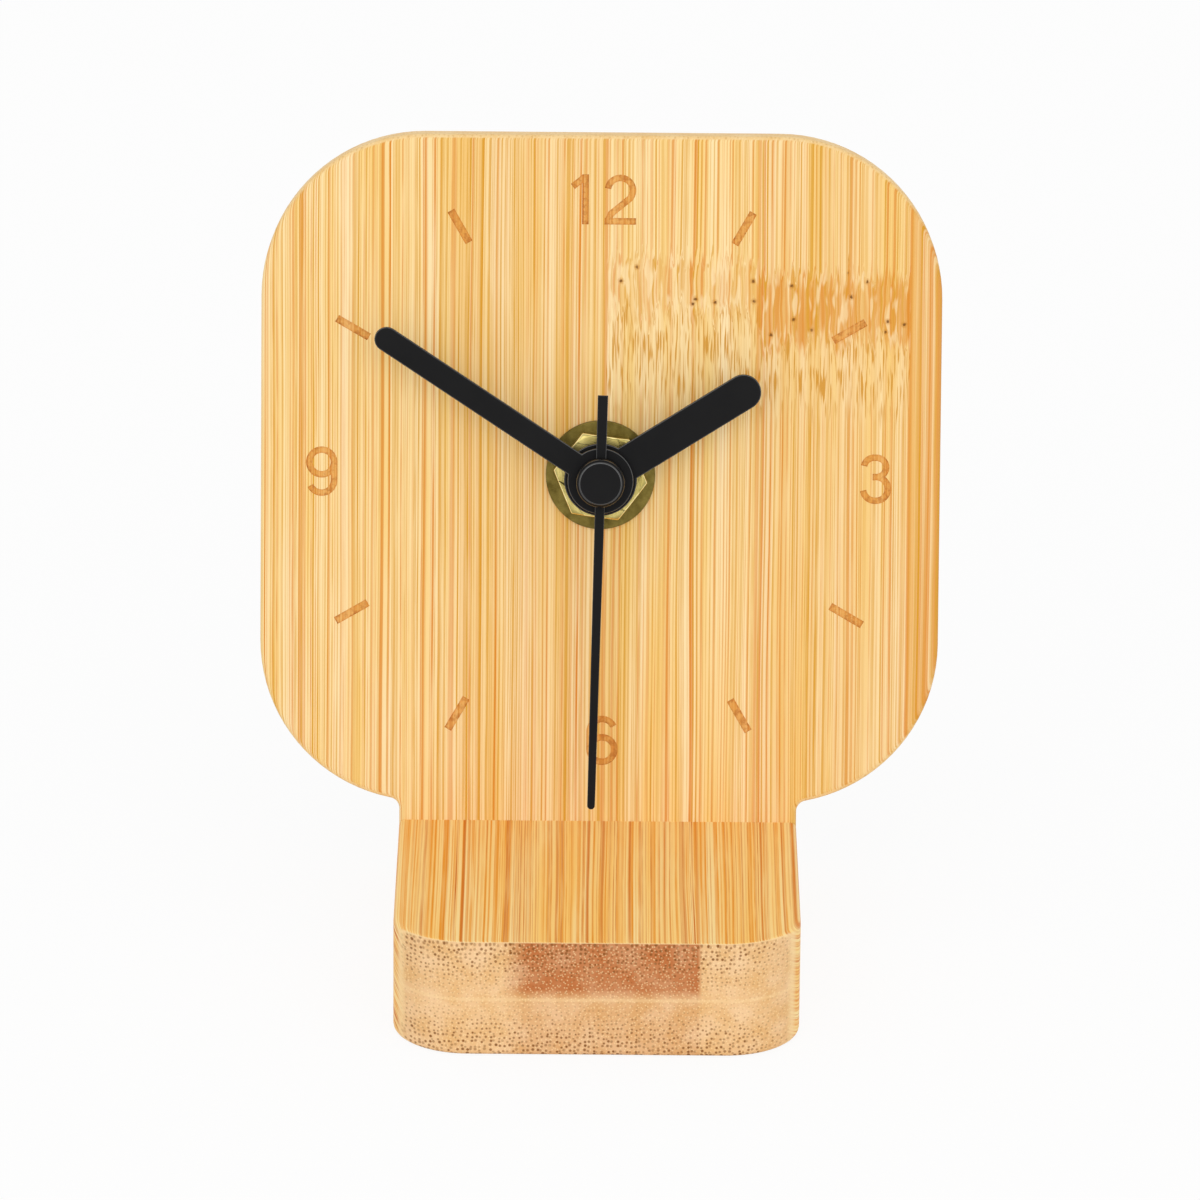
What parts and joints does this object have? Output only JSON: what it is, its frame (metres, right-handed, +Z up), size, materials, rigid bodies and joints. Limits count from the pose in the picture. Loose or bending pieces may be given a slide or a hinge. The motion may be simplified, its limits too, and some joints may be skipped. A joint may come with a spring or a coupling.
{
  "type": "desk clock",
  "caption": "Bamboo desk clock: a leaning rounded-square dial plate set in a slotted base block, with hour, minute and second hands turned by a battery quartz movement behind.",
  "frame": {"origin": "centre of the base block's underside, on the surface that the clock stands on", "axes": "+Z up, the dial faces -Y and leans back towards +Y, +X to the right of someone reading the dial"},
  "size_m": [0.092, 0.0845, 0.1073],
  "materials": {
    "bamboo_plate": "sanded and oiled",
    "bamboo_base": "sanded and oiled",
    "brass": "satin turned brass",
    "rubber": "matte",
    "black_plastic": "fine moulded grain",
    "grey_plastic": "moulded",
    "white_plastic": "moulded acetal",
    "battery_jacket": "plain shrink jacket",
    "spring_steel": "nickel-plated strip",
    "board": "coated paper laminate",
    "resin": "moulded resin",
    "nickel": "drawn can",
    "soft_iron": "stamped",
    "copper_wire": "enamelled wire",
    "magnet": "sintered",
    "black_paint": "satin black paint"
  },
  "bodies": {
    "clock_body": {"base_block": "bamboo_base", "dial_plate": "bamboo_plate", "brass_washer": "brass", "hex_nut": "brass", "threaded_bush": "brass", "rubber_gasket": "rubber", "movement_case": "black_plastic", "rear_cover": "black_plastic", "train_bridge": "grey_plastic", "battery": "battery_jacket", "positive_contact": "spring_steel", "negative_contact": "spring_steel", "circuit_board": "board", "driver_chip": "resin", "quartz_crystal": "nickel", "coil_core": "soft_iron", "coil_bobbin": "grey_plastic", "coil_winding": "copper_wire", "stator_plate": "soft_iron"},
    "second_train": {"second_hand": "black_paint", "second_hand_cap": "black_paint", "second_arbor": "spring_steel", "second_wheel": "white_plastic"},
    "third_train": {"third_wheel": "white_plastic"},
    "centre_train": {"centre_wheel": "white_plastic"},
    "intermediate_train": {"intermediate_wheel": "white_plastic"},
    "rotor": {"rotor_pinion": "white_plastic", "rotor_magnet": "magnet"},
    "minute_train": {"minute_hand": "black_paint", "minute_cannon": "white_plastic", "clutch_spring": "spring_steel"},
    "setting_train": {"setting_wheel": "white_plastic", "setting_knob": "white_plastic"},
    "hour_train": {"hour_hand": "black_paint", "hour_wheel": "white_plastic"}
  },
  "joints": [
    {"name": "second_hand_spin", "type": "hinge", "parent": "clock_body", "child": "second_train", "pos_m": [0, 0.01888, 0.06246], "axis": [0, 0.9781, -0.2079], "continuous": true},
    {"name": "intermediate_spin", "type": "hinge", "parent": "clock_body", "child": "intermediate_train", "pos_m": [-0.0102, 0.01888, 0.06246], "axis": [0, 0.9781, -0.2079], "continuous": true},
    {"name": "rotor_spin", "type": "hinge", "parent": "clock_body", "child": "rotor", "pos_m": [-0.01283, 0.02038, 0.06954], "axis": [0, 0.9781, -0.2079], "continuous": true},
    {"name": "third_wheel_spin", "type": "hinge", "parent": "clock_body", "child": "third_train", "pos_m": [0.01008, 0.01888, 0.06246], "axis": [0, 0.9781, -0.2079], "continuous": true},
    {"name": "centre_wheel_spin", "type": "hinge", "parent": "clock_body", "child": "centre_train", "pos_m": [0, 0.01888, 0.06246], "axis": [0, 0.9781, -0.2079], "continuous": true},
    {"name": "minute_hand_spin", "type": "hinge", "parent": "clock_body", "child": "minute_train", "pos_m": [0, 0.01888, 0.06246], "axis": [0, 0.9781, -0.2079], "continuous": true},
    {"name": "setting_knob_spin", "type": "hinge", "parent": "clock_body", "child": "setting_train", "pos_m": [0, 0.02112, 0.07303], "axis": [0, 0.9781, -0.2079], "continuous": true},
    {"name": "hour_hand_spin", "type": "hinge", "parent": "clock_body", "child": "hour_train", "pos_m": [0, 0.01888, 0.06246], "axis": [0, 0.9781, -0.2079], "continuous": true}
  ],
  "couplings": [
    {"joint": "intermediate_spin", "follows": "second_hand_spin", "ratio": -5},
    {"joint": "rotor_spin", "follows": "second_hand_spin", "ratio": 30},
    {"joint": "third_wheel_spin", "follows": "second_hand_spin", "ratio": -0.13333},
    {"joint": "centre_wheel_spin", "follows": "second_hand_spin", "ratio": 0.016667},
    {"joint": "setting_knob_spin", "follows": "minute_hand_spin", "ratio": -0.33333},
    {"joint": "hour_hand_spin", "follows": "minute_hand_spin", "ratio": 0.083333}
  ]
}
